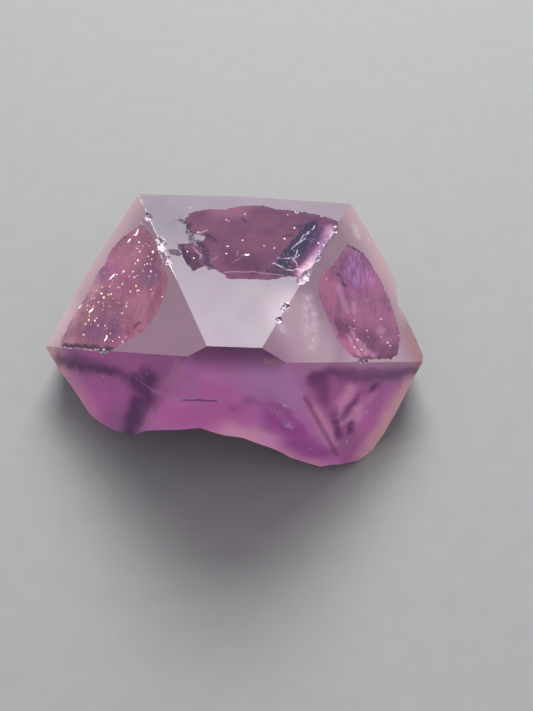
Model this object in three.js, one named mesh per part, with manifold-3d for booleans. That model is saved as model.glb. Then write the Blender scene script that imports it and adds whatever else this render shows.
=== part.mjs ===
// An amethyst point: the tip of a violet quartz crystal, broken off its cluster and lying on the break,
// so that its axis leans forward. Six ground faces meet in a short ridge at the tip. Below them are the
// crystal's own prism faces, which end in shell-shaped fractures.
//
// The crystal is made standing upright: millimetres, the axis along +Z, the ridge of the tip at the
// origin, the back face towards +Y. It is then leaned over, stood on its break and centred.

import * as THREE from "three";
import { mergeVertices } from "three/addons/utils/BufferGeometryUtils.js";
import Module from "manifold-3d";

const wasm = await Module();
wasm.setup();

// ---------------------------------------------------------------- driving dimensions, mm and degrees

// Each face of a quartz point leans this far: the angle between its normal and the crystal's axis.
const FACE_ANGLE = 51.79;
// The six faces in turn: the compass direction each looks to, from above, and how far it is set back
// from the middle of the tip. Two opposite faces with no setback leave the short ridge at the top.
const FACES = {
  back: { looksTo: 90, setback: 0 },
  left: { looksTo: 150, setback: 2.62 },
  frontLeft: { looksTo: 210, setback: 3.9 },
  front: { looksTo: 270, setback: 0 },
  frontRight: { looksTo: 330, setback: 4.24 },
  right: { looksTo: 30, setback: 2.62 },
};

const LEAN = 39.7; // of the axis towards the front, as the stone lies
const SPIN = -1.9; // of the stone about its own axis
const TIP_HEIGHT = 34; // of the ridge above what the stone rests on

// The girdle is the stone's outline seen down the axis, going round with the material on the left.
const GIRDLE = [
  // back and right: whole prism edges, then a chipped corner
  [17.9, 24], [0, 24.7], [-17.8, 24.5],
  // left
  [-23.5, 15.5], [-26.8, 10], [-32.7, -1.85],
  // front left, where the break starts to round the corner off
  [-30, -6], [-28.1, -8], [-25.8, -11.2], [-24.5, -12.8], [-22.7, -13.9], [-20.6, -14.7], [-18.5, -15.2],
  [-17, -15.3], [-15.85, -14.95],
  // front: the break has taken a bite out of it
  [-14, -14], [-11.7, -13.8], [-8.6, -13.6], [-5.4, -13.2], [-3.1, -14], [-0.8, -14.6], [1.8, -15.8],
  [5.2, -16.7], [7.3, -17.5], [10.6, -18.7], [13.9, -19.7], [15.9, -19.25],
  // front right, down to the corner that the stone stands on
  [17.6, -19.1], [20.5, -18.8], [21.7, -18.1], [22.8, -17.3], [24.6, -14.6], [26.9, -10.1], [29.2, -4.8],
  [30.5, -2.2],
  // right, with a chip out of its edge
  [30.7, -1.1], [29.5, 1.7], [27.5, 5.5], [26.2, 7.3], [26, 11.4], [23.3, 16.2],
];

// Growth ledges step the prism faces in: each starts this far below the tip, along the axis, and
// narrows the girdle to this share of its width.
const LEDGES = [
  { depth: 34.5, width: 0.991 },
  { depth: 38, width: 0.984 },
  { depth: 43.5, width: 0.972 },
];

// Patches of the crystal's own skin lie a little lower than the ground faces round them.
const SKIN_DEPTH = 0.3;
const SKIN_PATCHES = [
  {
    face: "back",
    outline: [
      [-8.8, 21], [-7.4, 21.7], [-5.6, 22.1], [-3.1, 22.1], [-0.5, 22.9], [3, 23.1], [5.5, 22.4],
      [10.1, 22.1], [12.9, 21.5], [15.6, 20.6], [15.4, 19.4], [9.3, 9.6], [8.7, 10.7], [7.7, 10.8],
      [6.2, 10.4], [4.3, 10.1], [-1.1, 10], [-2.2, 10.5], [-4.4, 11.8], [-5, 12], [-5.9, 11.7],
      [-7, 11.1], [-8.1, 12], [-9.1, 13.7], [-9.7, 15.4], [-6.2, 16.2], [-5.6, 17], [-8.3, 17.6],
      [-8.8, 18.2], [-9.6, 19.8],
    ],
  },
  {
    face: "left",
    outline: [
      [-16.8, 19.1], [-18, 18.1], [-19.6, 17.3], [-20.9, 16.1], [-22, 14.7], [-22.8, 12.3],
      [-23.9, 11.3], [-25.2, 8.2], [-26.1, 6.3], [-28.2, 2.8], [-29.7, -0.6], [-29.7, -1.6],
      [-19.7, -1.6], [-17.1, 0], [-14.4, 1.7], [-13.2, 2.8], [-11.4, 6.1], [-10.9, 8], [-10.9, 9.6],
      [-11.6, 11.6], [-13.9, 16.3], [-15.1, 17.6],
    ],
  },
  {
    face: "right",
    outline: [
      [17.2, 16.9], [18.5, 16.4], [19.8, 15.7], [21, 14.5], [23, 11.3], [24.7, 8], [25.4, 6],
      [26.4, 2.3], [26.2, 0.7], [25.8, -0.9], [24.5, -1.6], [19.9, -1.7], [18.2, -1.3], [17.2, -0.8],
      [15.3, 1.3], [13.9, 4.3], [12.4, 7.3], [12.1, 9], [12.3, 10.6], [13.4, 12.1], [14.8, 13.1],
      [15.8, 14.8],
    ],
  },
];

// Nicks along the edges between faces: where, seen from above, and how long, wide and deep the bite is.
const NICKS = [
  { between: ["back", "left"], at: [-15.6, 20.3], size: [1.3, 0.8, 0.5] },
  { between: ["back", "left"], at: [-12.7, 15.5], size: [2.2, 0.9, 0.6] },
  { between: ["back", "left"], at: [-11.1, 12.7], size: [1.2, 0.8, 0.5] },
  { between: ["back", "right"], at: [15.1, 19.2], size: [1, 0.7, 0.4] },
  { between: ["back", "right"], at: [12, 14.2], size: [1.4, 0.7, 0.4] },
  { between: ["back", "right"], at: [9.9, 11], size: [2.6, 1, 0.6] },
  { between: ["back", "right"], at: [7, 6], size: [1.1, 0.7, 0.4] },
  { between: ["back", "right"], at: [6.2, 4], size: [0.8, 0.6, 0.35] },
  { between: ["left", "frontLeft"], at: [-21, -1.8], size: [1.6, 0.6, 0.35] },
  { between: ["right", "frontRight"], at: [19.5, -1.9], size: [1.4, 0.6, 0.35] },
];

// Shell-shaped fractures, each a bite of a big ball, in the frame of the stone as it lies, from the
// point under the tip: X right, Y back, Z up. The rings spread from where the blow struck, which is
// given as a direction from the ball's centre.
const FRACTURES = {
  frontHollow: { centre: [-7, 1, -8.5], radius: 20, struck: [0.75, -0.2, 0.65] },
  backLeft: { centre: [-25, 82, -20], radius: 42, struck: [0.4, -0.75, 0.55] },
  backMiddle: { centre: [12, 80, -2], radius: 33, struck: [-0.65, -0.7, 0.3] },
  backRight: { centre: [47, 66, -14], radius: 38, struck: [-0.2, -0.7, 0.7] },
  leftCorner: { centre: [-50, 47, -13], radius: 26, struck: [0.7, -0.3, 0.65] },
};
// Low hollows in the break that the stone lies on. They leave it flat in the middle and round the edge.
const BASE_HOLLOWS = [
  { centre: [-19, 32, -33], radius: 34.6, struck: [0.3, 0.2, 0.93] },
  { centre: [16, 33, -28.5], radius: 30, struck: [-0.25, 0.3, 0.92] },
  { centre: [14, 13, -20], radius: 20.9, struck: [0.2, -0.3, 0.93] },
];
const RING_SPACING = 5;
const RING_HEIGHT = 0.16;
const BASE_RING_HEIGHT = 0.08;
const FRACTURE_DETAIL = 24; // how finely a fracture's ball is divided

// ---------------------------------------------------------------- helpers

const HUGE = 200; // reaches past the stone on every side
const UP = new THREE.Vector3(0, 0, 1);
const rad = THREE.MathUtils.degToRad;

function toSolid(geometry) {
  const bare = geometry.clone();
  bare.deleteAttribute("normal");
  bare.deleteAttribute("uv");
  const merged = mergeVertices(bare, 1e-5);
  return new wasm.Manifold(
    new wasm.Mesh({
      numProp: 3,
      vertProperties: merged.attributes.position.array,
      triVerts: new Uint32Array(merged.index.array),
    }),
  );
}

function toGeometry(solid) {
  const mesh = solid.getMesh();
  const geometry = new THREE.BufferGeometry();
  geometry.setAttribute("position", new THREE.BufferAttribute(mesh.vertProperties, 3));
  geometry.setIndex(new THREE.BufferAttribute(mesh.triVerts, 1));
  return geometry;
}

// The direction that a point face looks to.
function normalOf({ looksTo }) {
  const side = Math.sin(rad(FACE_ANGLE));
  return new THREE.Vector3(
    side * Math.cos(rad(looksTo)),
    side * Math.sin(rad(looksTo)),
    Math.cos(rad(FACE_ANGLE)),
  );
}

// Everything beyond the plane that lies this far out along a normal.
function beyond(normal, distance) {
  const block = new THREE.BoxGeometry(HUGE, HUGE, HUGE);
  block.translate(0, 0, HUGE / 2 + distance);
  block.applyQuaternion(new THREE.Quaternion().setFromUnitVectors(UP, normal));
  return toSolid(block);
}

// A column along the axis with this outline, from one height up to another.
function column(outline, from, to) {
  const shape = new THREE.Shape(outline.map(([x, y]) => new THREE.Vector2(x, y)));
  const geometry = new THREE.ExtrudeGeometry(shape, { depth: to - from, bevelEnabled: false });
  geometry.translate(0, 0, from);
  return toSolid(geometry);
}

// The height of a point face above a place in the outline.
function heightOn(face, [x, y]) {
  const normal = normalOf(face);
  return (face.setback - normal.x * x - normal.y * y) / normal.z;
}

// A ball whose surface carries the rings of a shell-shaped fracture, and is a little uneven.
function rippledBall({ centre, radius, struck }, ringHeight) {
  const ball = new THREE.IcosahedronGeometry(radius, FRACTURE_DETAIL);
  const points = ball.attributes.position;
  const pole = new THREE.Vector3(...struck).normalize();
  const point = new THREE.Vector3();
  for (let i = 0; i < points.count; i++) {
    point.fromBufferAttribute(points, i).divideScalar(radius);
    const fromPole = point.angleTo(pole) * radius;
    const swirl = Math.sin(5 * point.y + 2 * point.x) + 0.7 * Math.sin(6 * point.z - 3 * point.x);
    const ring = Math.cos((2 * Math.PI * fromPole) / RING_SPACING + swirl);
    const uneven = Math.sin(4 * point.x + 1) * Math.sin(5 * point.y) * Math.cos(4 * point.z);
    point.multiplyScalar(radius + ringHeight * ring + 2 * ringHeight * uneven);
    points.setXYZ(i, point.x, point.y, point.z);
  }
  ball.translate(...centre);
  return toSolid(ball);
}

// A small bite out of the edge where two faces meet, longest along the edge.
function nick({ between, at, size }) {
  const [one, other] = between.map((name) => FACES[name]);
  const height = Math.min(heightOn(one, at), heightOn(other, at));
  const along = normalOf(one).cross(normalOf(other)).normalize();
  const out = normalOf(one).add(normalOf(other)).normalize();
  const across = new THREE.Vector3().crossVectors(out, along);
  const bite = new THREE.IcosahedronGeometry(1, 1);
  bite.scale(...size);
  bite.applyMatrix4(new THREE.Matrix4().makeBasis(along, across, out));
  bite.translate(at[0], at[1], height);
  return toSolid(bite);
}

// ---------------------------------------------------------------- the upright crystal

function prism() {
  let body = column(GIRDLE, -LEDGES[0].depth, 1);
  LEDGES.forEach(({ depth, width }, i) => {
    const bottom = i + 1 < LEDGES.length ? -LEDGES[i + 1].depth : -HUGE / 2;
    const stepped = GIRDLE.map(([x, y]) => [x * width, y * width]);
    body = body.add(column(stepped, bottom, -depth + 1));
  });
  return body;
}

function pointed(body) {
  for (const face of Object.values(FACES)) {
    body = body.subtract(beyond(normalOf(face), face.setback));
  }
  return body;
}

function withSkinPatches(body) {
  for (const { face, outline } of SKIN_PATCHES) {
    const { setback } = FACES[face];
    const normal = normalOf(FACES[face]);
    const below = beyond(normal.clone().negate(), SKIN_DEPTH - setback);
    body = body.subtract(column(outline, -HUGE / 2, 1).subtract(below));
  }
  return body;
}

function nicked(body) {
  return NICKS.reduce((whole, each) => whole.subtract(nick(each)), body);
}

// ---------------------------------------------------------------- the stone as it lies

function laidDown(upright) {
  const turn = new THREE.Matrix4()
    .makeTranslation(0, 0, TIP_HEIGHT)
    .multiply(new THREE.Matrix4().makeRotationX(rad(LEAN)))
    .multiply(new THREE.Matrix4().makeRotationZ(rad(SPIN)));
  return toSolid(toGeometry(upright).applyMatrix4(turn));
}

function broken(stone) {
  for (const fracture of Object.values(FRACTURES)) {
    stone = stone.subtract(rippledBall(fracture, RING_HEIGHT));
  }
  for (const hollow of BASE_HOLLOWS) {
    stone = stone.subtract(rippledBall(hollow, BASE_RING_HEIGHT));
  }
  return stone.subtract(beyond(UP.clone().negate(), 0));
}

function centred(geometry) {
  geometry.computeBoundingBox();
  const { min, max } = geometry.boundingBox;
  return geometry.translate(-(min.x + max.x) / 2, -(min.y + max.y) / 2, -min.z);
}

const upright = nicked(withSkinPatches(pointed(prism())));
const stone = centred(toGeometry(broken(laidDown(upright))));
stone.computeVertexNormals();

const amethyst = new THREE.MeshStandardMaterial({
  color: 0x9a62a8,
  roughness: 0.35,
  metalness: 0,
  transparent: true,
  opacity: 0.85,
  flatShading: true,
});

const crystal = new THREE.Mesh(stone, amethyst);
crystal.name = "amethyst_point";

const group = new THREE.Group();
group.add(crystal);

export default group;
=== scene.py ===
"""An amethyst point: the tip of a violet quartz crystal, lying on its broken side on a pale table.

The stone is one piece. Its six point faces were ground matt on a lap, three of them round a patch of
the crystal's own glassy skin, and below them it has its natural prism faces and shell-shaped breaks.
"""

import math

import bmesh
import bpy
from mathutils import Matrix, Vector, noise
from mathutils.kdtree import KDTree


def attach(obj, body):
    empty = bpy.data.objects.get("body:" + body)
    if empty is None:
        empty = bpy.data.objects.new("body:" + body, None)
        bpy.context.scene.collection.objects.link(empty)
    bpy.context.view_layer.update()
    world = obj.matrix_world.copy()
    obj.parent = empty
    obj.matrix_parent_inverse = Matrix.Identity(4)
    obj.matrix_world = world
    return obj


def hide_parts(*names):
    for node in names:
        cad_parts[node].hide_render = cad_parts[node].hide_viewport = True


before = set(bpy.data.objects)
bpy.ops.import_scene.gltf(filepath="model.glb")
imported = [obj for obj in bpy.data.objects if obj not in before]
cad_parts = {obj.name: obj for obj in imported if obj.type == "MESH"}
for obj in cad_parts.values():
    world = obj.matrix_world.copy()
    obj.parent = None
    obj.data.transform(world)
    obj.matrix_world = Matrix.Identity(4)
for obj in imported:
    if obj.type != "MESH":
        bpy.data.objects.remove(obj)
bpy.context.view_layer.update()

MM = 0.001

# ------------------------------------------------------------------ the crystal's own frame

FACE_ANGLE = 51.79  # degrees from the axis to the normal of a quartz point face
LEAN = 39.7  # degrees that the axis leans forward
SPIN = -1.9  # degrees about the axis
# Where each point face looks to, seen down the axis, and how far it is set back from the tip, in mm.
FACES = {
    "back": (90, 0.0),
    "left": (150, 2.62),
    "front left": (210, 3.9),
    "front": (270, 0.0),
    "front right": (330, 4.24),
    "right": (30, 2.62),
}
SKIN_DEPTH = 0.3  # mm that the flat of a skin patch lies below its ground face
WELD = 0.002 * MM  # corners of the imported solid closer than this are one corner
FLAT = 0.3  # degrees; where the surface turns less than this it is one flat face


def face_normal(looks_to):
    side = math.sin(math.radians(FACE_ANGLE))
    turn = math.radians(looks_to)
    return Vector((side * math.cos(turn), side * math.sin(turn), math.cos(math.radians(FACE_ANGLE))))


def depth_under(looks_to, setback, point):
    """How far a point in the crystal's frame lies under that point face, in mm."""
    return setback - face_normal(looks_to).dot(point)


def merged_copy(node_name):
    """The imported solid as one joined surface, with each flat face whole."""
    bm = bmesh.new()
    bm.from_mesh(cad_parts[node_name].data)
    bmesh.ops.remove_doubles(bm, verts=bm.verts, dist=WELD)
    bmesh.ops.dissolve_degenerate(bm, edges=bm.edges, dist=WELD)
    bmesh.ops.dissolve_limit(bm, angle_limit=math.radians(FLAT), verts=bm.verts, edges=bm.edges)
    return bm


stone = merged_copy("amethyst_point")
# The two highest corners are the ends of the short ridge that the point faces meet in.
ridge_ends = sorted(stone.verts, key=lambda v: -v.co.z)[:2]
tip = (ridge_ends[0].co + ridge_ends[1].co) / 2
# Millimetres in the crystal's frame, with the tip at the origin and the axis up, to metres as it lies.
laid_down = (
    Matrix.Translation(tip)
    @ Matrix.Rotation(math.radians(LEAN), 4, "X")
    @ Matrix.Rotation(math.radians(SPIN), 4, "Z")
    @ Matrix.Scale(MM, 4)
)
stood_up = laid_down.inverted()

# ------------------------------------------------------------------ camera and light

CAMERA_FROM_TIP = Vector((4.5, -93.0, 117.1)) * MM
CAMERA_PITCH = 52.0  # degrees below level
SENSOR = 36.0  # mm
FOCAL_PIXELS = 1068.0  # the focal length, for a render whose long side is the next value
LONG_SIDE_PIXELS = 711.0
NEAREST_SEEN = 5 * MM

WINDOW_WIDTH = 0.6  # metres
WINDOW_AT = Vector((0.05, 0.66, 0.84))  # metres
WINDOW_POWER = 18.0  # watts
ROOM_COLOUR = "#D8D8DC"
ROOM_STRENGTH = 1.05

camera_data = bpy.data.cameras.new("camera")
camera_data.sensor_width = SENSOR
camera_data.lens = FOCAL_PIXELS / LONG_SIDE_PIXELS * SENSOR
camera_data.clip_start = NEAREST_SEEN
camera = bpy.data.objects.new("camera", camera_data)
camera.location = tip + CAMERA_FROM_TIP
camera.rotation_euler = (math.radians(90 - CAMERA_PITCH), 0, 0)
bpy.context.collection.objects.link(camera)
bpy.context.scene.camera = camera


def linear(hex_colour):
    """An sRGB hex colour as linear RGBA."""
    channels = [int(hex_colour[i : i + 2], 16) / 255 for i in (1, 3, 5)]
    return [c / 12.92 if c <= 0.04045 else ((c + 0.055) / 1.055) ** 2.4 for c in channels] + [1.0]


# A square soft light behind the stone, aimed at it.
window_data = bpy.data.lights.new("window behind", "AREA")
window_data.shape = "SQUARE"
window_data.size = WINDOW_WIDTH
window_data.energy = WINDOW_POWER
window = bpy.data.objects.new("window behind", window_data)
window.location = WINDOW_AT
window.rotation_euler = (-WINDOW_AT).to_track_quat("-Z", "Y").to_euler()
bpy.context.collection.objects.link(window)

world = bpy.data.worlds.new("studio")
world.use_nodes = True
world.node_tree.nodes["Background"].inputs["Color"].default_value = linear(ROOM_COLOUR)
world.node_tree.nodes["Background"].inputs["Strength"].default_value = ROOM_STRENGTH
bpy.context.scene.world = world
bpy.context.scene.view_settings.view_transform = "Standard"

# Light that enters the stone is turned back many times inside it before it comes out.
light_paths = bpy.context.scene.cycles
light_paths.max_bounces = 32
light_paths.glossy_bounces = 16
light_paths.transmission_bounces = 24

# ------------------------------------------------------------------ shader building blocks


def node(tree, kind, inputs=None, **settings):
    """Adds a shader node. inputs gives each socket, by name or number, a value or an output to read."""
    made = tree.nodes.new(kind)
    for name, value in settings.items():
        setattr(made, name, value)
    for socket, value in (inputs or {}).items():
        if isinstance(value, bpy.types.NodeSocket):
            tree.links.new(value, made.inputs[socket])
        else:
            made.inputs[socket].default_value = value
    return made


def empty_material(name):
    material = bpy.data.materials.new(name)
    material.use_nodes = True
    material.node_tree.nodes.clear()
    return material, material.node_tree


def crystal_point(tree):
    """The place on the surface in millimetres, in the crystal's own frame."""
    place = {
        "Vector": node(tree, "ShaderNodeTexCoord").outputs["Object"],
        "Location": tip,
        "Rotation": laid_down.to_3x3().normalized().to_euler(),
        "Scale": (MM, MM, MM),
    }
    return node(tree, "ShaderNodeMapping", place, vector_type="TEXTURE").outputs["Vector"]


def seen_down_axis(tree, point):
    """The same place with its height left out."""
    level = {0: point, 1: (1, 1, 0)}
    return node(tree, "ShaderNodeVectorMath", level, operation="MULTIPLY").outputs[0]


# How far a face looks to the back is under this on the middle one of the three front faces, on all
# three, and on every point face aside from the back one. 1 is straight back, and -1 straight ahead.
MIDDLE = -0.6
FRONT = 0.0
ASIDE = 0.6


def turned_from_back(tree, limit):
    """A mask of the surfaces that look less to the back than that limit."""
    back = (laid_down.to_3x3() @ Vector((0, 1, 0))).normalized()
    normal = node(tree, "ShaderNodeTexCoord").outputs["Normal"]
    facing = node(tree, "ShaderNodeVectorMath", {0: normal, 1: back}, operation="DOT_PRODUCT")
    test = {0: facing.outputs["Value"], 1: limit}
    return node(tree, "ShaderNodeMath", test, operation="LESS_THAN").outputs[0]


def left_half(tree, point):
    """A mask of the side left of the tip, seen from the front."""
    across = node(tree, "ShaderNodeSeparateXYZ", {0: point}).outputs["X"]
    return node(tree, "ShaderNodeMath", {0: across, 1: 0.0}, operation="LESS_THAN").outputs[0]


def cloud(tree, point, size_mm, seed=0.0, detail=3.0):
    """Soft noise with humps of that size, from about 0 to 1."""
    moved = node(tree, "ShaderNodeVectorMath", {0: point, 1: (seed, seed, seed)}).outputs[0]
    grain = {"Vector": moved, "Scale": 1 / size_mm, "Detail": detail}
    return node(tree, "ShaderNodeTexNoise", grain).outputs["Fac"]


def patches(tree, point, size_mm, start, full, seed=0.0):
    """Soft patches of that size: noise spread so that start is nothing and full is all."""
    spread = {"Value": cloud(tree, point, size_mm, seed), "From Min": start, "From Max": full}
    return node(tree, "ShaderNodeMapRange", spread, interpolation_type="SMOOTHSTEP").outputs["Result"]


def swayed(tree, plan, size_mm, by_mm):
    """The place moved about by soft noise, so that what is drawn at it gets ragged edges."""
    grain = {"Vector": plan, "Scale": 1 / size_mm, "Detail": 2.0}
    sway = {0: node(tree, "ShaderNodeTexNoise", grain).outputs["Color"], 1: (0.5, 0.5, 0.5)}
    sway = node(tree, "ShaderNodeVectorMath", sway, operation="SUBTRACT").outputs[0]
    move = {0: sway, 1: (2 * by_mm, 2 * by_mm, 0), 2: plan}
    return node(tree, "ShaderNodeVectorMath", move, operation="MULTIPLY_ADD").outputs[0]


def lines(tree, plan, paths, half_width, fade):
    """Where the surface is on one of these paths, drawn seen down the axis, in mm.

    A path runs through its points, and a path of one point is a dot.
    """
    mask = None
    for path in paths:
        for start, end in zip(path, path[1:] or path):
            start, along = Vector((*start, 0)), Vector((*end, 0)) - Vector((*start, 0))
            step = {0: plan, 1: start}
            away = node(tree, "ShaderNodeVectorMath", step, operation="SUBTRACT").outputs[0]
            if along.length:
                step = {0: away, 1: along / along.length_squared}
                share = node(tree, "ShaderNodeVectorMath", step, operation="DOT_PRODUCT")
                share = node(tree, "ShaderNodeClamp", {"Value": share.outputs["Value"]}).outputs[0]
                step = {0: along, "Scale": share}
                foot = node(tree, "ShaderNodeVectorMath", step, operation="SCALE").outputs[0]
                step = {0: away, 1: foot}
                away = node(tree, "ShaderNodeVectorMath", step, operation="SUBTRACT").outputs[0]
            distance = node(tree, "ShaderNodeVectorMath", {0: away}, operation="LENGTH").outputs["Value"]
            limits = {"Value": distance, "From Min": half_width + fade, "From Max": half_width}
            drawn = node(tree, "ShaderNodeMapRange", limits, interpolation_type="SMOOTHSTEP").outputs[0]
            if mask:
                drawn = node(tree, "ShaderNodeMath", {0: mask, 1: drawn}, operation="MAXIMUM").outputs[0]
            mask = drawn
    return mask


WARM_SHARE = 0.45  # the share of the specks that are warm in colour


def specks(tree, point, spacing_mm, size_mm, share):
    """Masks of scattered dots up to that size, in that share of the places, and of the warm ones.

    They stand for the glints of tiny flakes, and are drawn as large as they need to be to show.
    """
    cells = node(tree, "ShaderNodeTexVoronoi", {"Vector": point, "Scale": 1 / spacing_mm})
    chance = node(tree, "ShaderNodeSeparateXYZ", {0: cells.outputs["Color"]}).outputs
    reach = {0: chance[1], 1: size_mm / 2 / spacing_mm}
    reach = node(tree, "ShaderNodeMath", reach, operation="MULTIPLY").outputs[0]
    inside = {0: cells.outputs["Distance"], 1: reach}
    inside = node(tree, "ShaderNodeMath", inside, operation="LESS_THAN").outputs[0]
    chosen = node(tree, "ShaderNodeMath", {0: chance[0], 1: share}, operation="LESS_THAN").outputs[0]
    dots = node(tree, "ShaderNodeMath", {0: inside, 1: chosen}, operation="MULTIPLY").outputs[0]
    warm = {0: chance[2], 1: 1 - WARM_SHARE}
    warm = node(tree, "ShaderNodeMath", warm, operation="GREATER_THAN").outputs[0]
    return dots, node(tree, "ShaderNodeMath", {0: dots, 1: warm}, operation="MULTIPLY").outputs[0]


def layered(tree, base, layers):
    """Lays finishes over a base. A finish is a colour, the share of light it lets in, and a roughness.

    A layer is a tuple of masks and strengths, which are multiplied, followed by its finish. A Mix node's
    sockets go by number: 0 is the factor, 2 and 3 are its numbers, and 6 and 7 are its colours.
    """
    colour, *numbers = base
    colour = linear(colour)
    for masks, over, *over_numbers in layers:
        where = masks[0]
        for mask in masks[1:]:
            where = node(tree, "ShaderNodeMath", {0: where, 1: mask}, operation="MULTIPLY").outputs[0]
        mixed = {0: where, 6: colour, 7: linear(over)}
        colour = node(tree, "ShaderNodeMix", mixed, data_type="RGBA").outputs[2]
        for i, number in enumerate(over_numbers):
            if number != numbers[i]:
                numbers[i] = node(tree, "ShaderNodeMix", {0: where, 2: numbers[i], 3: number}).outputs[0]
    return colour, *numbers


QUARTZ_IOR = 1.544
BODY_VIOLET = "#F059E7"
BODY_DENSITY = 58.0  # per metre

# How rough each surface of the quartz is.
LAPPED = 0.42
GLASSY = 0.07
BRIGHT = 0.14
SATIN = 0.22


def finish_amethyst(tree, finish, height, height_mm):
    """Links up see-through violet quartz with one surface finish, and a relief of that height."""
    colour, see_through, roughness = finish
    relief = {"Height": height, "Distance": height_mm * MM, "Strength": 1.0}
    looks = {
        "Base Color": colour,
        "Roughness": roughness,
        "IOR": QUARTZ_IOR,
        "Transmission Weight": see_through,
        "Normal": node(tree, "ShaderNodeBump", relief).outputs["Normal"],
    }
    surface = node(tree, "ShaderNodeBsdfPrincipled", looks).outputs["BSDF"]
    tint = {"Color": linear(BODY_VIOLET), "Density": BODY_DENSITY}
    body = node(tree, "ShaderNodeVolumeAbsorption", tint).outputs["Volume"]
    node(tree, "ShaderNodeOutputMaterial", {"Surface": surface, "Volume": body})


# ------------------------------------------------------------------ ground faces

# Where the marks on them are: paths in millimetres, seen down the crystal's axis.
# White along the ridges: partly wear, partly a painted highlight.
WORN_RIDGES_AND_HIGHLIGHTS = [
    [(-17.8, 24.2), (-11.0, 12.6)], [(15.2, 20.4), (14.2, 17.4)], [(12.9, 15.4), (9.6, 10.1)],
    [(-28.6, -1.5), (-20.4, -1.9)],
]
CLOUDY_STREAK = [[(10.4, 7.8), (11.2, 5.0), (11.7, 2.5), (11.2, 0.1)], [(10.2, 6.2), (10.4, 2.2)]]
LONG_CRACK = [
    [
        (-15.5, -5.5), (-12.6, -7.2), (-10.0, -7.9), (-8.9, -8.3), (-7.2, -8.3), (-4.9, -8.2),
        (-2.4, -8.3), (-1.2, -8.0),
    ],
]
CRACK_SHADE = [[(-7.8, -8.45), (-5.8, -8.4), (-2.6, -8.5)]]
DARK_BANDS = [
    [(-30.1, -3.7), (-23.6, -3.9), (-18.8, -4.4)],
    [(11.5, -4.0), (15.6, -4.1), (21.1, -4.4), (25.7, -4.2), (29.3, -3.8)],
]
DARK_MARKS = [
    [(-27.6, -4.6), (-23.7, -4.7), (-20.5, -4.8), (-17.4, -5.2)],
    [(18.2, -11.4), (18.6, -12.6), (18.3, -13.5)],
    [(22.4, -6.1), (19.4, -7.5), (17.8, -9.6), (17.3, -11.2)],
    [(15.3, -10.2), (16.3, -12.4), (16.8, -14.2)],
]
DARK_CORES = [
    [(-26.0, -4.7), (-19.4, -4.9)], [(22.6, -6.0), (21.4, -6.2)], [(18.5, -12.0), (18.3, -13.3)],
    [(16.0, -11.6), (16.6, -13.6)],
]
DARK_PATCHES = [
    [(-15.1, -9.5), (-16.2, -12.0), (-17.1, -14.5)], [(-13.0, -5.2), (-13.8, -7.4)],
    [(-15.4, -6.2), (-13.4, -8.4)],
]
SOFT_PATCHES = [[(12.4, -4.8), (13.1, -6.2), (13.5, -7.6)]]
SHADE_UNDER_TIP = [[(-4.8, -0.4), (4.8, -0.4)]]
VIOLET_SPOTS = [
    [(-0.2, -9.4), (0.2, -9.6)], [(1.4, -8.3), (3.2, -8.4)], [(5.6, -13.2), (4.4, -12.8)],
    [(7.6, -12.0), (8.2, -12.6)], [(-10.2, -6.6), (-11.5, -9.0)],
]
VIOLET_ZONES = [[(6.0, -10.4), (9.6, -13.2)], [(9.6, -15.6), (13.6, -17.2)]]
MAGENTA_ZONES = [
    [(-28.4, -7.2), (-24.4, -11.2)], [(-9.4, -11.2), (-3.4, -11.4)], [(-3.4, -7.6), (0.6, -10.2)],
    [(19.8, -9.0), (20.6, -12.4)],
]
LILAC_ZONES = [[(3.6, -3.6), (6.4, -4.6), (7.8, -6.6)]]
PALE_VEILS = [[(7.0, -8.3), (7.6, -8.8), (9.2, -9.7), (9.6, -10.3)], [(8.0, -12.1), (8.6, -12.2)]]
PALE_DOTS = [
    [(-21.4, -5.9)], [(12.1, -16.4)], [(21.0, -10.3)], [(7.5, -8.8)], [(8.4, -12.1)], [(17.8, -11.4)],
]
PALE_HATCH = [
    [(18.2, -10.9), (17.5, -11.9)], [(22.1, -7.4), (19.8, -9.4)],
    [(10.4, -10.8), (11.6, -12.7), (14.2, -14.9)], [(5.6, -9.4), (8.6, -12.4)],
]
# Painted glow: pale pink where the front faces run out thin at their lower edge and light comes through.
PAINTED_GLOW_LOW_EDGE = [
    [(-2.1, -14.2), (1.8, -15.2), (7.3, -17.6), (13.9, -20.4)], [(-1.0, -13.6), (3.6, -14.8)],
]
PINK_LENSES = [
    [(17.9, -6.4), (16.7, -8.6), (16.7, -11.6)], [(12.2, -9.6), (15.3, -15.0)],
    [(19.3, -9.8), (18.9, -11.4)],
]
# Painted highlight: a thin pink line along the ridge between the front left and front faces.
RIDGE_HIGHLIGHTS = [[(-7.9, -3.0), (-10.1, -6.6), (-12.4, -10.2), (-14.6, -13.6)]]
RIDGE_SHADE = [[(10.6, -7.5), (13.0, -11.6), (15.0, -14.9), (16.3, -17.3)]]
# Painted glow: pale salmon along the thin outer edges of the front faces, where light comes through.
PAINTED_GLOW_EDGES = [
    [(30.6, -2.4), (28.6, -6.5), (25.4, -12.2), (22.1, -18.1)], [(-32.6, -2.0), (-30.8, -4.6)],
]
PALE_CLOUDS = [[(7.6, 5.0), (12.4, -0.4)], [(19.0, -1.6), (25.0, -1.6)], [(-31.8, 0.6), (-30.2, 3.4)]]
BROWN_RIM = [[(31.0, -2.0), (28.8, 2.6)]]
IRON_STAIN = [[(4.6, -1.9), (5.8, -1.8)]]
GREY_CLOUDS = [[(-14.4, 22.6), (-12.6, 20.4)], [(-12.8, 19.0), (-10.2, 17.6)]]
GLASSY_SLIVERS = [[(-11.1, 14.4), (-10.0, 14.3), (-9.4, 13.8)], [(-10.9, 14.0), (-9.7, 13.7)]]
FAINT_LINES = [[(-12.4, 18.4), (-10.2, 20.6)], [(-10.3, 19.9), (-9.6, 19.0)]]
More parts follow.
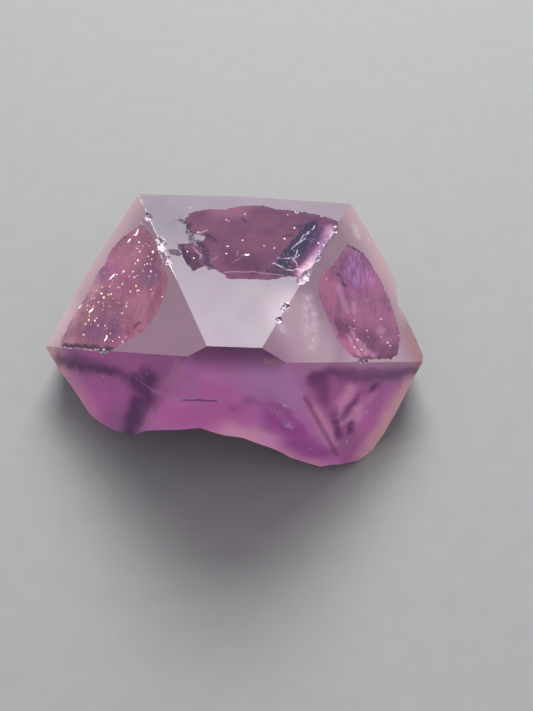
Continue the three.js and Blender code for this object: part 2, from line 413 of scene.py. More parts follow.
BROKEN_EDGE = [
    [
        (-10.1, 19.7), (-9.0, 19.2), (-8.8, 17.7), (-8.1, 17.4), (-7.9, 16.2), (-7.0, 16.0),
        (-6.0, 15.4), (-5.5, 14.4), (-5.3, 13.5), (-5.0, 12.5), (-4.5, 11.6),
    ],
    [(-9.7, 15.4), (-9.1, 14.1), (-8.2, 12.8)],
]
SOFT_SPOTS = [[(18.3, 20.0), (19.2, 18.6)], [(7.0, 6.1), (7.2, 5.8)], [(6.6, 3.2), (6.8, 2.6)]]

PITS = 0.35  # mm; a lap's real pits are under a tenth of this, too fine to show
PIT_DEPTH = 0.03


def ground_amethyst():
    """Quartz lapped matt: a fine grey frost that scatters light, with the violet glowing through it; on
    the front faces and thin edges that glow is painted in.
    """
    material, tree = empty_material("ground_amethyst")
    point = crystal_point(tree)
    plan = seen_down_axis(tree, point)
    middle = turned_from_back(tree, MIDDLE)
    front = turned_from_back(tree, FRONT)
    aside = turned_from_back(tree, ASIDE)
    left = left_half(tree, point)
    sharp = swayed(tree, plan, 0.9, 0.2)
    ragged = swayed(tree, plan, 1.6, 0.6)
    loose = swayed(tree, plan, 3.0, 1.2)
    height = node(tree, "ShaderNodeSeparateXYZ", {0: point}).outputs["Z"]
    fall = {"Value": height, "From Min": -8.0, "From Max": -30.0}
    far_down = node(tree, "ShaderNodeMapRange", fall).outputs[0]
    fall = {"Value": height, "From Min": -25.0, "From Max": -32.0}
    rim = node(tree, "ShaderNodeMapRange", fall).outputs[0]
    broad = patches(tree, point, 5.0, 0.3, 0.75, 11.0)
    uneven = patches(tree, point, 3.0, 0.2, 0.7, 4.0)
    fine = patches(tree, point, 0.8, 0.3, 0.65)
    crumbs = patches(tree, point, 0.4, 0.3, 0.48, 12.0)
    hatch = patches(tree, ragged, 0.35, 0.35, 0.6)
    dots, warm_dots = specks(tree, point, 1.5, 0.45, 0.12)
    finish = layered(
        tree,
        ("#C4BCC5", 0.74, LAPPED),
        [
            ((far_down, 0.75), "#9E8C9C", 0.74, LAPPED),
            ((aside,), "#DDBFCC", 0.78, LAPPED),
            # Painted glow: the front faces, the middle one most, are painted lighter and pinker than the
            # rest and let less through, for the light that comes through the stone and out of them.
            ((front,), "#F29CDA", 0.7, LAPPED),
            ((front, left, 0.7), "#DE80CE", 0.7, LAPPED),
            ((middle, 0.88), "#FFA0EA", 0.38, LAPPED),
            ((broad, 0.3), "#B894BC", 0.8, LAPPED),
            ((lines(tree, loose, PALE_CLOUDS, 1.0, 4.5), 0.6), "#F0D4DE", 0.6, LAPPED),
            ((lines(tree, loose, LILAC_ZONES, 0.6, 4.4), front, 0.6), "#E2ACEA", 0.36, LAPPED),
            # Painted glow along the thin lower edge of the front faces.
            ((lines(tree, loose, PAINTED_GLOW_LOW_EDGE, 0.2, 3.4), middle, 0.85), "#FFB6D6", 0.06, LAPPED),
            ((lines(tree, loose, VIOLET_ZONES, 0.4, 3.2), front, 0.6), "#BE48B8", 0.6, LAPPED),
            ((lines(tree, loose, MAGENTA_ZONES, 0.6, 3.0), front, 0.5), "#FA80CE", 0.45, LAPPED),
            ((lines(tree, ragged, PINK_LENSES, 0.3, 1.5), front, 0.7), "#FFB2D4", 0.34, LAPPED),
            # Painted highlight along the front left ridge.
            ((lines(tree, plan, RIDGE_HIGHLIGHTS, 0.3, 0.9), front, 0.42), "#F8A0C6", 0.45, LAPPED),
            # Painted glow along the thin outer edges.
            ((lines(tree, loose, PAINTED_GLOW_EDGES, 0.3, 3.0), front, 0.75), "#FFC0B8", 0.3, LAPPED),
            # Painted glow: the thin rim low on the stone is painted pale, fully on all but the back face
            # and in patches all round, for the light that comes through it.
            ((rim, aside, 0.55), "#FFDCD0", 0.36, LAPPED),
            ((lines(tree, loose, BROWN_RIM, 0.6, 3.0), aside, 0.75), "#BE807E", 0.6, LAPPED),
            ((rim, uneven, 0.2), "#E4D0D4", 0.6, LAPPED),
            ((lines(tree, loose, GREY_CLOUDS, 0.2, 2.6), 0.5), "#8E88A4", 0.74, LAPPED),
            ((lines(tree, loose, DARK_BANDS, 0.0, 1.8), front, 0.58), "#5A1E7A", 0.9, LAPPED),
            ((lines(tree, loose, DARK_PATCHES, 0.3, 2.3), front, 0.82), "#460A70", 0.95, LAPPED),
            ((lines(tree, loose, SOFT_PATCHES, 0.2, 2.0), front, 0.5), "#46106C", 0.95, LAPPED),
            ((lines(tree, loose, DARK_MARKS, 0.0, 1.3), front, uneven, 0.68), "#421468", 0.95, LAPPED),
            ((lines(tree, ragged, DARK_CORES, 0.0, 0.8), front, fine, 0.68), "#2C0A50", 0.95, LAPPED),
            ((lines(tree, plan, SHADE_UNDER_TIP, 0.0, 4.4), front, 0.56), "#4A2060", 0.9, LAPPED),
            ((lines(tree, loose, VIOLET_SPOTS, 0.0, 1.3), front, 0.25), "#7A2C90", 0.7, LAPPED),
            ((lines(tree, plan, RIDGE_SHADE, 0.0, 0.7), front, 0.45), "#5A2470", 0.8, LAPPED),
            ((lines(tree, ragged, IRON_STAIN, 0.0, 0.7), 0.55), "#D8A880", 0.4, LAPPED),
            ((lines(tree, sharp, CRACK_SHADE, 0.0, 0.2), 0.7), "#4A2A6A", 0.9, LAPPED),
            ((lines(tree, loose, PALE_VEILS, 0.0, 0.6), fine, 0.7), "#E4D4FA", 0.45, LAPPED),
            ((lines(tree, ragged, PALE_HATCH, 0.2, 0.7), hatch, front, 0.5), "#F0C8EC", 0.5, LAPPED),
            ((lines(tree, sharp, LONG_CRACK, 0.0, 0.16), fine, 0.8), "#D4C8E8", 0.5, LAPPED),
            ((lines(tree, ragged, CLOUDY_STREAK, 0.0, 1.4), fine, 0.6), "#E8DCE6", 0.5, LAPPED),
            ((lines(tree, sharp, FAINT_LINES, 0.0, 0.35), fine, 0.5), "#6A5078", 0.8, LAPPED),
            ((lines(tree, sharp, GLASSY_SLIVERS, 0.1, 0.25), 0.8), "#6A3468", 0.8, 0.1),
            ((lines(tree, ragged, BROKEN_EDGE, 0.1, 0.4), crumbs, 0.85), "#30085A", 0.85, 0.2),
            ((lines(tree, ragged, SOFT_SPOTS, 0.0, 0.9), 0.35), "#F0E4F0", 0.4, LAPPED),
            # White ridge lines: partly wear, partly a painted highlight.
            ((lines(tree, sharp, WORN_RIDGES_AND_HIGHLIGHTS, 0.0, 0.2), fine, 0.55), "#FFFFFF", 0.2, 0.3),
            ((lines(tree, plan, PALE_DOTS, 0.06, 0.12), 0.9), "#FFFAFC", 0.1, LAPPED),
            # Painted glints of tiny flakes: white and warm dots.
            ((dots, uneven, 0.5), "#FFF8F4", 0.1, LAPPED),
            ((warm_dots, uneven, 0.5), "#F0C8A0", 0.1, LAPPED),
        ],
    )
    finish_amethyst(tree, finish, cloud(tree, point, PITS, detail=4.0), PIT_DEPTH)
    return material


# ------------------------------------------------------------------ natural skin

# Where the marks on it are, in the same way.
DARK_STREAK = [
    [(11.4, 19.6), (10.1, 18.0), (8.7, 16.2), (7.4, 14.3), (6.6, 12.9)], [(10.5, 17.4), (8.8, 14.6)],
]
STREAK_FOOT = [[(4.6, 11.7), (6.0, 12.2), (8.0, 12.5)], [(8.1, 11.4), (5.3, 11.0)]]
STREAK_HALO = [[(11.9, 18.8), (10.9, 16.2), (9.2, 13.6)], [(11.6, 20.2), (10.2, 18.8)]]
STREAK_CRACKS = [
    [(5.8, 13.7), (6.9, 13.6), (8.0, 13.9), (8.7, 13.0), (8.9, 12.5)],
    [(5.1, 12.8), (6.2, 12.4), (7.1, 11.8), (8.2, 11.7), (9.0, 12.1)],
    [(8.0, 15.3), (8.5, 16.0), (9.6, 16.8), (10.2, 17.2)], [(10.5, 18.3), (11.3, 18.9), (11.7, 19.6)],
    [(8.7, 13.9), (9.2, 14.4)], [(9.2, 16.6), (9.9, 17.9), (10.8, 18.2)], [(8.4, 13.6), (8.9, 15.2)],
]
FINE_CRACKS = [
    [(-3.1, 10.9), (-1.5, 11.1), (1.7, 11.3), (5.2, 11.0), (7.1, 10.8)],
    [(-1.3, 12.7), (0.1, 13.6), (0.6, 14.1)], [(-4.6, 12.4), (-4.6, 12.8), (-3.5, 13.7)],
    [(-0.7, 14.0), (-0.5, 14.7)],
]
BROKEN_CORNER = [[(-8.6, 14.0), (-7.2, 12.2)], [(-6.9, 13.4), (-6.6, 11.8)]]
CORNER_SHARDS = [
    [(-7.6, 15.0), (-6.2, 13.8), (-6.2, 12.7)], [(-7.5, 15.6), (-6.9, 15.4)],
    [(-5.7, 18.1), (-7.4, 17.4)],
]
SMALL_DARK = [
    [(-5.9, 17.4), (-4.8, 17.0), (-4.6, 16.4)], [(0.0, 20.5), (0.4, 20.1)],
    [(-5.7, 16.7), (-5.1, 16.8)], [(-4.1, 16.6), (-4.0, 16.2)], [(6.8, 17.5), (8.2, 17.7)],
    [(8.7, 19.3), (9.4, 19.6)], [(17.4, 16.5), (18.1, 16.3), (19.3, 15.9)],
    [(-15.8, 2.3), (-14.9, 2.9)], [(15.5, 11.8), (16.0, 11.0), (16.7, 9.8)],
]
LOW_EDGE_LEFT = [[(-28.9, -1.3), (-23.6, -1.35), (-18.9, -1.3)]]
LOW_EDGE_RIGHT = [[(17.2, -1.0), (19.0, -1.4), (23.4, -1.5), (25.7, -1.1)]]
DARK_ZONES = [
    [(-1.4, 13.0), (2.2, 12.3)], [(19.6, 1.7), (21.2, 0.6)], [(23.4, -0.6), (25.4, -0.4)],
    [(15.2, 2.8), (17.0, 2.8)],
]
VIOLET_AREAS = [
    [(-14.1, 10.7)], [(-22.8, 11.4)], [(-23.8, 1.4), (-20.0, 2.0)], [(18.4, 13.6), (18.2, 11.0)],
    [(12.6, 18.3), (11.6, 15.6)],
]
PINK_AREAS = [
    [(-20.3, 12.6), (-17.6, 13.6)], [(-15.1, 5.2)], [(15.6, 0.9), (17.8, -0.4)],
    [(-4.0, 22.6), (-1.0, 22.8)],
]
PEACH_AREA = [[(12.9, 11.0), (13.5, 9.4), (14.2, 8.0)]]
VIOLET_STRIPES = [
    [(18.7, 14.9), (18.7, 12.8), (18.1, 10.9)], [(19.3, 12.8), (19.2, 10.5)],
    [(17.3, 10.9), (17.7, 13.9)], [(20.8, 12.7), (21.3, 10.9)],
]
# Painted glow: the left skin patch fades into the pale glow of the thin rim at its lower left.
SKIN_RIM_GLOW = [[(-25.0, 9.6), (-27.2, 5.6), (-29.3, 1.2), (-29.4, -0.8)]]
# Pale band by the right ridge of the back skin patch: partly its chipped edge, partly a painted
# highlight.
PALE_SIDE = [[(14.4, 18.6), (13.0, 15.6), (11.4, 13.4), (9.9, 11.2)]]
PALE_STRIPS = [
    [(15.6, 9.7), (16.2, 7.8), (17.0, 5.7)], [(18.2, 7.0), (18.2, 5.8)], [(14.3, 3.6), (15.0, 2.4)],
]
PALE_RAYS = [
    [(17.5, 3.1), (18.6, 1.4), (20.2, -0.7)], [(19.0, 1.1), (21.3, -1.1)], [(17.0, 2.0), (18.9, -1.0)],
]
ROUND_SPOT = [[(22.9, 3.0)]]
SPARKLE_BAND = [
    [
        (-16.0, 16.0), (-16.3, 12.7), (-16.8, 10.2), (-18.8, 8.8), (-20.7, 6.7), (-23.1, 3.2),
        (-21.0, 0.4),
    ],
]
GLINTS = [
    [(-17.4, 17.2), (-17.2, 18.1)], [(-18.8, 16.2), (-18.5, 16.5)], [(-21.3, 16.1), (-21.1, 16.2)],
    [(-21.4, 10.0), (-20.8, 10.6)], [(-26.9, 5.1), (-26.7, 5.3)], [(-24.7, 4.4), (-24.1, 5.0)],
    [(-21.0, 0.0), (-20.8, 0.3)], [(0.7, 14.1), (1.2, 14.2)],
]
SMALL_GLINTS = [
    [(-18.7, 18.0)], [(-19.7, 8.5)], [(-16.4, 14.3)], [(-17.3, 11.1)], [(-23.2, 3.4)], [(-13.7, 8.1)],
    [(-16.9, 10.1)], [(-17.4, 7.8)], [(-15.1, 1.3)], [(-22.2, 5.9)], [(-25.1, 2.5)], [(-11.6, 7.0)],
    [(-2.3, 19.9)], [(-2.8, 20.2)], [(3.6, 15.8)], [(5.2, 15.4)], [(8.4, 19.1)], [(6.8, 17.1)],
    [(-7.3, 13.2)], [(-8.4, 14.3)], [(23.0, 4.8)], [(20.4, 2.8)], [(24.1, 1.0)], [(24.5, 0.5)],
    [(18.7, 1.4)], [(18.2, 0.3)],
]

SWELLS = 1.2  # mm across the low swells that growth leaves
SWELL_HEIGHT = 0.02
FIBRE_STRETCH = (2.0, 0.27, 0.27)  # half as wide as the noise that draws them, and four times as long


def natural_skin():
    """The crystal's own growth face: glassy, a little uneven, with veils, healed cracks and flakes, and
    painted glints.
    """
    material, tree = empty_material("natural_amethyst_skin")
    point = crystal_point(tree)
    plan = seen_down_axis(tree, point)
    aside = turned_from_back(tree, ASIDE)
    left = left_half(tree, point)
    sharp = swayed(tree, plan, 0.8, 0.25)
    ragged = swayed(tree, plan, 1.1, 0.6)
    loose = swayed(tree, plan, 2.6, 1.1)
    broad = patches(tree, point, 3.6, 0.35, 0.7)
    fine = patches(tree, point, 0.7, 0.25, 0.55, 3.0)
    broken = patches(tree, point, 0.5, 0.35, 0.5, 8.0)
    crumbs = patches(tree, point, 0.4, 0.3, 0.48, 12.0)
    stretch = {0: point, 1: FIBRE_STRETCH}
    drawn_out = node(tree, "ShaderNodeVectorMath", stretch, operation="MULTIPLY").outputs[0]
    fibres = patches(tree, drawn_out, 1.0, 0.45, 0.7)
    threads = patches(tree, drawn_out, 0.45, 0.4, 0.62, 5.0)
    streak = lines(tree, swayed(tree, plan, 0.7, 0.5), DARK_STREAK, 0.7, 0.7)
    band = lines(tree, loose, SPARKLE_BAND, 1.6, 3.4)
    dust_and_glints, warm_dust_and_glints = specks(tree, sharp, 0.62, 0.4, 0.6)
    dots, warm_dots = specks(tree, point, 1.2, 0.42, 0.2)
    veil = patches(tree, ragged, 0.5, 0.5, 0.65, 6.0)
    flecks = patches(tree, sharp, 0.28, 0.62, 0.7, 3.0)
    lit = patches(tree, point, 1.5, 0.2, 0.6)
    finish = layered(
        tree,
        ("#C476A2", 0.86, GLASSY),
        [
            ((aside,), "#FF9ED2", 0.83, GLASSY),
            ((aside, left), "#FA9CB4", 0.82, GLASSY),
            # Painted glow where the left skin patch meets the thin rim.
            ((lines(tree, loose, SKIN_RIM_GLOW, 0.6, 2.6), 0.6), "#ECBCC4", 0.5, 0.3),
            # Pale band by the right ridge: chipped edge and a painted highlight.
            ((lines(tree, ragged, PALE_SIDE, 0.5, 1.3), 0.85), "#FAD4E2", 0.3, GLASSY),
            ((broad, 0.4), "#A458A4", 0.9, GLASSY),
            ((fibres, aside, 0.3), "#F0B4D8", 0.7, GLASSY),
            ((lines(tree, loose, DARK_ZONES, 0.4, 2.0), 0.5), "#7C2478", 0.92, GLASSY),
            ((lines(tree, loose, VIOLET_AREAS, 0.6, 2.4), 0.5), "#A468C0", 0.84, GLASSY),
            ((lines(tree, loose, PINK_AREAS, 0.8, 3.0), 0.35), "#F4A4C0", 0.7, GLASSY),
            ((lines(tree, loose, PEACH_AREA, 0.5, 2.0), 0.5), "#EC88A0", 0.74, GLASSY),
            ((lines(tree, loose, STREAK_HALO, 0.3, 1.4), 0.55), "#5A2C7C", 0.9, GLASSY),
            ((lines(tree, loose, VIOLET_STRIPES, 0.3, 1.2), threads, 0.55), "#D49CEA", 0.55, GLASSY),
            ((lines(tree, sharp, PALE_STRIPS, 0.2, 0.5), 0.4), "#DDB4DC", 0.6, GLASSY),
            ((lines(tree, ragged, PALE_RAYS, 0.05, 0.5), fine, 0.45), "#F4C4D6", 0.55, GLASSY),
            ((lines(tree, ragged, ROUND_SPOT, 0.5, 0.4), 0.45), "#D8ACD0", 0.6, GLASSY),
            ((lines(tree, ragged, LOW_EDGE_LEFT, 0.1, 0.55), 0.85), "#3C1454", 0.9, 0.2),
            ((lines(tree, ragged, LOW_EDGE_RIGHT, 0.0, 0.5), 0.6), "#702858", 0.9, 0.2),
            ((lines(tree, ragged, BROKEN_CORNER, 0.5, 0.6), 0.6), "#5A2658", 0.9, GLASSY),
            ((lines(tree, ragged, BROKEN_EDGE, 0.25, 0.5), crumbs, 0.9), "#30085A", 0.8, 0.12),
            ((lines(tree, ragged, SMALL_DARK, 0.06, 0.3), 0.7), "#3C1850", 0.9, GLASSY),
            ((lines(tree, ragged, STREAK_FOOT, 0.3, 0.7), fine, 0.9), "#200640", 0.7, GLASSY),
            ((streak, 0.97), "#1A0438", 0.6, GLASSY),
            ((streak, veil, 0.5), "#4C3478", 0.6, 0.15),
            ((streak, flecks, 0.55), "#C8BCE0", 0.4, 0.2),
            ((lines(tree, sharp, CORNER_SHARDS, 0.0, 0.25), fine, 0.7), "#B0A0B8", 0.4, 0.2),
            ((lines(tree, sharp, STREAK_CRACKS, 0.0, 0.16), broken, 0.85), "#CCC4E0", 0.3, 0.2),
            ((lines(tree, sharp, FINE_CRACKS, 0.0, 0.16), fine, 0.5), "#E0C8DC", 0.5, 0.1),
            # White and warm specks: partly dust and flakes, partly painted glints; then the larger
            # painted glints.
            ((dots, 0.7), "#FFF0EC", 0.1, 0.2),
            ((dust_and_glints, aside, left, band), "#FFF4F0", 0.1, 0.2),
            ((warm_dots, 0.8), "#F4BC96", 0.1, 0.2),
            ((warm_dust_and_glints, aside, left, band), "#F4B48C", 0.1, 0.2),
            ((lines(tree, sharp, SMALL_GLINTS, 0.0, 0.24), lit), "#FFE4D4", 0.0, 0.2),
            ((lines(tree, sharp, GLINTS, 0.06, 0.16),), "#FFFFFF", 0.0, 0.2),
        ],
    )
    finish_amethyst(tree, finish, cloud(tree, point, SWELLS, detail=4.0), SWELL_HEIGHT)
    return material


# ------------------------------------------------------------------ prism faces, breaks, nicks and table

RIB = 0.45  # mm from one growth rib to the next; the real ones are finer, and wouldn't show
RIB_HEIGHT = 0.06
RIB_STRETCH = (0.06, 0.06, 1)  # the ribs run level round the stone
RIPPLE = 0.8  # mm from one ripple of a shell-shaped break to the next
RIPPLE_HEIGHT = 0.08
CRUMB = 0.35  # mm across the bits in a bruise
CRUMB_HEIGHT = 0.2
MOTTLE = 4.0  # mm across the patches that a paint roller leaves


def prism_face():
    """The crystal's own side: bright, ribbed across by growth, with a little pale crust in the ribs."""
    material, tree = empty_material("amethyst_prism_face")
    point = crystal_point(tree)
    stretch = {0: point, 1: RIB_STRETCH}
    level = node(tree, "ShaderNodeVectorMath", stretch, operation="MULTIPLY").outputs[0]
    zones = patches(tree, point, 7.0, 0.35, 0.7, 2.0)
    grooves = patches(tree, level, RIB, 0.35, 0.7)
    crust = patches(tree, point, 5.0, 0.45, 0.65)
    crusted_ribs = patches(tree, level, 1.4, 0.5, 0.68, 5.0)
    finish = layered(
        tree,
        ("#D9BFDD", 0.9, BRIGHT),
        [
            ((zones, 0.7), "#B07CC0", 0.92, BRIGHT),
            ((grooves, 0.35), "#B58CBD", 0.8, 0.2),
            ((crust, crusted_ribs, 0.6), "#CDB6A8", 0.6, 0.5),
        ],
    )
    finish_amethyst(tree, finish, cloud(tree, level, RIB, detail=4.0), RIB_HEIGHT)
    return material


def broken_amethyst():
    """A fresh break: satin, rippled like the inside of a shell, milky where cracks lie under it."""
    material, tree = empty_material("broken_amethyst")
    point = crystal_point(tree)
    zones = patches(tree, point, 7.0, 0.35, 0.65, 9.0)
    milky = patches(tree, point, 3.5, 0.4, 0.65, 2.0)
    earthy = patches(tree, point, 2.2, 0.55, 0.72, 7.0)
    flakes, warm_flakes = specks(tree, point, 1.4, 0.6, 0.2)
    finish = layered(
        tree,
        ("#D8B4E0", 0.5, SATIN),
        [
            ((zones,), "#C496D0", 0.5, SATIN),
            ((milky, 0.7), "#E8D8EA", 0.35, 0.4),
            ((earthy, 0.5), "#CDAA8A", 0.3, 0.5),
            # Painted glints of tiny flakes, white and warm.
            ((flakes, 0.8), "#FFFFFF", 0.1, 0.3),
            ((warm_flakes, 0.8), "#F4D8C4", 0.1, 0.3),
        ],
    )
    finish_amethyst(tree, finish, cloud(tree, point, RIPPLE, detail=4.0), RIPPLE_HEIGHT)
    return material


def chipped_amethyst():
    """A bruised nick in an edge: clear violet between crushed white crumbs that catch the light."""
    material, tree = empty_material("chipped_amethyst")
    point = crystal_point(tree)
    crushed = patches(tree, point, 0.4, 0.42, 0.56)
    finish = layered(tree, ("#B48CB6", 0.75, 0.3), [((crushed, 0.8), "#FFFAFF", 0.1, 0.4)])
    finish_amethyst(tree, finish, cloud(tree, point, CRUMB, detail=4.0), CRUMB_HEIGHT)
    return material


def painted_table():
    """Matt pale paint, a touch uneven, so that the soft shadow lies on it quietly."""
    material, tree = empty_material("matt_pale_paint")
    metres = node(tree, "ShaderNodeTexCoord").outputs["Object"]
    scale = {0: metres, "Scale": 1 / MM}
    point = node(tree, "ShaderNodeVectorMath", scale, operation="SCALE").outputs[0]
    mottle = {0: patches(tree, point, MOTTLE, 0.3, 0.7), 6: linear("#818181"), 7: linear("#7F7F7F")}
    colour = node(tree, "ShaderNodeMix", mottle, data_type="RGBA").outputs[2]
    looks = {"Base Color": colour, "Roughness": 0.7}
    surface = node(tree, "ShaderNodeBsdfPrincipled", looks).outputs["BSDF"]
    node(tree, "ShaderNodeOutputMaterial", {"Surface": surface})
    return material


# ------------------------------------------------------------------ the stone's shape

GROUND, SKIN, PRISM, BREAK, NICK = range(5)
MATERIALS = [ground_amethyst, natural_skin, prism_face, broken_amethyst, chipped_amethyst]

# How the solid's flat faces are told apart.
ON_PLANE = 0.01  # mm; a corner this near a plane is on it
NEAR = ON_PLANE * MM  # points this near to each other, or to a cut, touch
UPRIGHT = 0.02  # the most that the normal of a prism face rises or falls
SAME_WAY = 0.999  # the cosine between two faces of one flat is over this
SLIVER = 0.1 * MM**2  # a face smaller than this belongs to what is round it
NICK_DEPTH = 0.9  # mm that the deepest nick goes in
NICKS_ABOVE = 12 * MM  # no nick is lower on the stone than this; what is, is part of the break

# Where the front left face ends at its low corner, seen down the axis, in mm.
LOW_CORNER = [(-20.6, -14.7), (-18.5, -15.1), (-17.1, -15.3), (-15.7, -14.9)]
LOW_CORNER_TOP = -13.9  # only what is lower than this is moved

# Millimetres between the cuts that give each kind of face enough points for its relief.
GRIDS = [({NICK}, 0.33), ({SKIN}, 0.42), ({PRISM, BREAK}, 1.0), ({GROUND}, 4.0)]
RIDGE_WEAR = 0.12  # mm that the worn edges between the ground faces are rounded
RIDGE_TURN = 0.2  # radians; where two ground faces turn more than this they meet in a ridge
RIM_SWAY = 0.7  # mm across which the rim of a skin patch or a nick wanders in the ground face
RIM_STEP = 0.55  # mm from one turn of that rim to the next
SKIN_DISH = 0.1  # mm that the flat of a skin patch lies in from its rim
DISH_WIDTH = 4.0  # mm from the rim of a skin patch in to its flat
RELIEF_SHARE = 0.4  # the share of the thickness under a ground face that relief may take
TERRACES = 6  # growth terraces between the lowest and the highest
CREASE = 32  # degrees; an edge that turns more than this is seen as an edge


def kinds_round(vert, kind):
    return {face[kind] for face in vert.link_faces}


def fill_low_corner(bm):
    """Lets the front left face reach down to its corner, where the break cuts in a little too far."""
    looks_to, setback = FACES["front left"]
    normal = face_normal(looks_to)
    for v in bm.verts:
        point = stood_up @ v.co
        on_face = abs(depth_under(looks_to, setback, point)) < ON_PLANE
        for (x0, y0), (x1, y1) in zip(LOW_CORNER, LOW_CORNER[1:]):
            if on_face and point.y < LOW_CORNER_TOP and x0 < point.x <= x1:
                y = y0 + (y1 - y0) * (point.x - x0) / (x1 - x0)
                z = (setback - normal.x * point.x - normal.y * y) / normal.z
                v.co = laid_down @ Vector((point.x, y, z))
                break


def sort_faces(bm, kind):
    """Notes on each flat face of the solid which finish it has."""
    for face in bm.faces:
        corners = [stood_up @ v.co for v in face.verts]
        middle = sum(corners, Vector()) / len(corners)
        upright = abs((stood_up.to_3x3() @ face.normal).normalized().z) < UPRIGHT
        face[kind] = PRISM if upright else BREAK
        nearest = min(depth_under(*each, middle) for each in FACES.values())
        if not upright and nearest < NICK_DEPTH and (laid_down @ middle).z > NICKS_ABOVE:
            face[kind] = NICK
        for each in FACES.values():
            depths = [depth_under(*each, corner) for corner in corners]
            if all(abs(d) < ON_PLANE for d in depths):
                face[kind] = GROUND
            elif face.calc_area() > SLIVER and all(abs(d - SKIN_DEPTH) < ON_PLANE for d in depths):
                face[kind] = SKIN


def close_steps(bm, kind):
    """Brings each skin patch up to the ground face round it, so that they meet in a line."""
    up = (laid_down.to_3x3() @ Vector((0, 0, 1))) * (SKIN_DEPTH / math.cos(math.radians(FACE_ANGLE)))
    for v in {v for face in bm.faces if face[kind] == SKIN for v in face.verts}:
        v.co += up
    bmesh.ops.remove_doubles(bm, verts=bm.verts, dist=NEAR)
    bmesh.ops.dissolve_degenerate(bm, edges=bm.edges, dist=NEAR / 2)


def wear_ridges(bm, kind):
    """Rounds the edges where two ground faces meet."""
    inner = [e for e in bm.edges if e.is_manifold and all(f[kind] == GROUND for f in e.link_faces)]
    ridges = [e for e in inner if e.calc_face_angle() > RIDGE_TURN]
    bmesh.ops.bevel(
        bm,
        geom=ridges,
        offset=RIDGE_WEAR * MM,
        segments=2,
        profile=0.5,
        affect="EDGES",
        material=-1,
        clamp_overlap=True,
    )


def true_up(bm, kind):
    """Puts every corner of a ground face exactly in the face's plane, so that it shades as one flat."""
    bm.normal_update()
    # A corner on a ridge is in two planes, so it takes a second round to settle.
    for looks_to, setback in [*FACES.values()] * 2:
        normal = face_normal(looks_to)
        out = (laid_down.to_3x3() @ normal).normalized()
        flats = [f for f in bm.faces if f[kind] == GROUND and f.normal.dot(out) > SAME_WAY]
        for v in {v for f in flats for v in f.verts}:
            v.co += laid_down.to_3x3() @ (normal * depth_under(looks_to, setback, stood_up @ v.co))


def cut_into_grid(bm, faces, spacing):
    """Cuts the faces along planes that far apart, in mm, square to the axes of the crystal."""
    # A dict keeps the order of its keys, so each run cuts in the same order.
    corners = dict.fromkeys(v for f in faces for v in f.verts)
    edges = dict.fromkeys(e for f in faces for e in f.edges)
    geometry = [*corners, *edges, *faces]
    reach = [stood_up @ v.co for f in faces for v in f.verts]
    for i in range(3):
        axis = Vector((i == 0, i == 1, i == 2))
        low, high = min(p[i] for p in reach), max(p[i] for p in reach)
        for step in range(math.ceil(low / spacing), math.ceil(high / spacing)):
            geometry = bmesh.ops.bisect_plane(
                bm,
                geom=geometry,
                dist=NEAR,
                plane_co=laid_down @ (axis * step * spacing),
                plane_no=(laid_down.to_3x3() @ axis).normalized(),
            )["geom"]


def smooth_step(x):
    x = max(0.0, min(1.0, x))
    return x * x * (3 - 2 * x)


def rolling(point, size, seed=0.0):
    """Noise from 0 to 1 whose humps are about that many millimetres across."""
    return 0.5 + 0.5 * noise.noise(point / size + Vector((seed, -seed, 2 * seed)))


def folded(point, size, seed):
    """Noise from 0 to 1 with sharp valleys, about that many millimetres apart."""
    return abs(2 * rolling(point, size, seed) - 1)


def terraces(point, size, seed):
    """Growth terraces, from 0 to 1: flats that step down to each other over a quarter of their width."""
    height = TERRACES * rolling(point, size, seed)
    return (math.floor(height) + smooth_step((height % 1) * 4 - 1.5)) / TERRACES


def relief(kind, point):
    """How far the surface of that kind lies in from the plain form. Every depth and size is in mm."""
    if kind == SKIN:
        return 0.05 * terraces(point, 6.0, 3.1) + 0.02 * rolling(point, 1.7, 5.2)
    if kind == PRISM:
        level = Vector((0.0, 0.0, point.z))
        ribs = rolling(level + 0.04 * point, 0.9, 7.0)
        return 0.12 * ribs + 0.12 * terraces(level + 0.2 * point, 2.5, 1.0)
    if kind == BREAK:
        ripples = 0.22 * rolling(point, 2.4) + 0.12 * rolling(point, 0.9, 4.0)
        return ripples + 0.15 * folded(point, 3.5, 2.0)
    if kind == NICK:
        return 0.2 * rolling(point, 0.8, 9.0) + 0.12 * folded(point, 0.4, 8.0)
    return 0.0


def skin_rims(bm, kind):
    """The rims of the skin patches, seen down the axis, to look up how far a place is from them."""
    rims = [v for v in bm.verts if {SKIN, GROUND} <= kinds_round(v, kind)]
    found = KDTree(len(rims))
    for i, v in enumerate(rims):
        point = stood_up @ v.co
        found.insert((point.x, point.y, 0), i)
    found.balance()
    return found


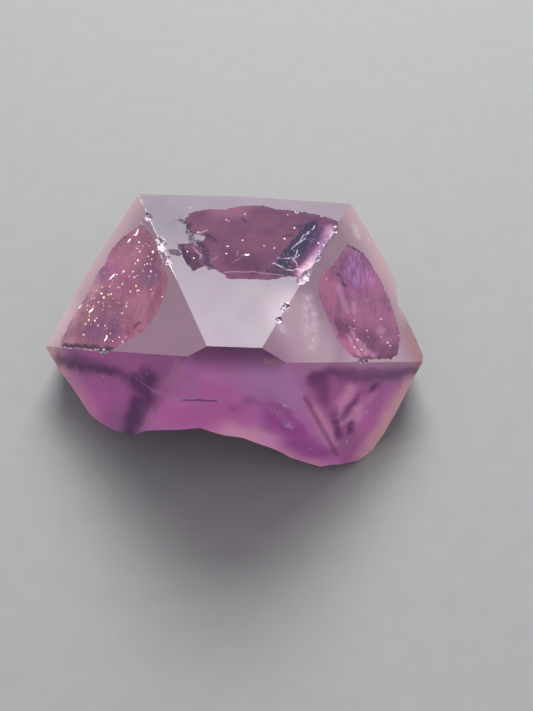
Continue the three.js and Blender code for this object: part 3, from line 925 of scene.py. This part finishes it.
def roughen(bm, kind):
    """Gives each natural and broken surface its relief, inwards, and makes the rims in a flat ragged."""
    rims = skin_rims(bm, kind)
    moves = []
    for v in bm.verts:
        point = stood_up @ v.co
        round_it = kinds_round(v, kind)
        if round_it == {SKIN}:
            # The terraces set in over the first third of the dish.
            inset = smooth_step(rims.find((point.x, point.y, 0))[2] / DISH_WIDTH)
            depth = SKIN_DISH * inset + min(1.0, 3 * inset) * relief(SKIN, point)
            moves.append((v, -v.normal * MM * depth))
        elif not round_it & {SKIN, GROUND}:
            depth = sum(relief(each, point) for each in round_it) / len(round_it)
            if NICK not in round_it:
                # Where a break runs out thin, its relief must not come through the ground face.
                thickness = min(depth_under(*each, point) for each in FACES.values())
                depth = min(depth, RELIEF_SHARE * thickness)
            moves.append((v, -v.normal * MM * depth))
        elif round_it in ({SKIN, GROUND}, {NICK, GROUND}):
            normals = [f.normal for f in v.link_faces if f[kind] == GROUND]
            if min(normals[0].dot(each) for each in normals) > SAME_WAY:
                sway = Vector([rolling(point, RIM_STEP, seed) - 0.5 for seed in (1.0, 2.0, 3.0)])
                sway = sway * RIM_SWAY * MM
                moves.append((v, sway - normals[0] * sway.dot(normals[0])))
    for v, move in moves:
        v.co += move
        v.co.z = max(v.co.z, 0.0)


def build_stone():
    kind = stone.faces.layers.int.new("kind")
    fill_low_corner(stone)
    stone.normal_update()
    sort_faces(stone, kind)
    close_steps(stone, kind)
    wear_ridges(stone, kind)
    true_up(stone, kind)
    for kinds, spacing in GRIDS:
        cut_into_grid(stone, [f for f in stone.faces if f[kind] in kinds], spacing)
    bmesh.ops.triangulate(stone, faces=stone.faces)
    stone.normal_update()
    roughen(stone, kind)
    mesh = bpy.data.meshes.new("amethyst_crystal")
    for material in MATERIALS:
        mesh.materials.append(material())
    for face in stone.faces:
        face.material_index = face[kind]
        face.smooth = True
    for edge in stone.edges:
        flat = any(face[kind] == GROUND for face in edge.link_faces)
        edge.smooth = not flat and edge.calc_face_angle(0) < math.radians(CREASE)
    stone.to_mesh(mesh)
    stone.free()
    crystal = bpy.data.objects.new("amethyst_crystal", mesh)
    bpy.context.collection.objects.link(crystal)
    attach(crystal, "root")
    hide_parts("amethyst_point")


# ------------------------------------------------------------------ the table

TABLE_RADIUS = 2.0  # metres
TABLE_GAP = 0.05 * MM  # of air, so that the table doesn't share a plane with the flat of the break


def build_floor():
    bm = bmesh.new()
    bmesh.ops.create_circle(bm, cap_ends=True, segments=96, radius=TABLE_RADIUS)
    bmesh.ops.translate(bm, verts=bm.verts, vec=(0, 0, -TABLE_GAP))
    mesh = bpy.data.meshes.new("table")
    bm.to_mesh(mesh)
    bm.free()
    mesh.materials.append(painted_table())
    floor = bpy.data.objects.new("table", mesh)
    bpy.context.collection.objects.link(floor)


build_stone()
build_floor()
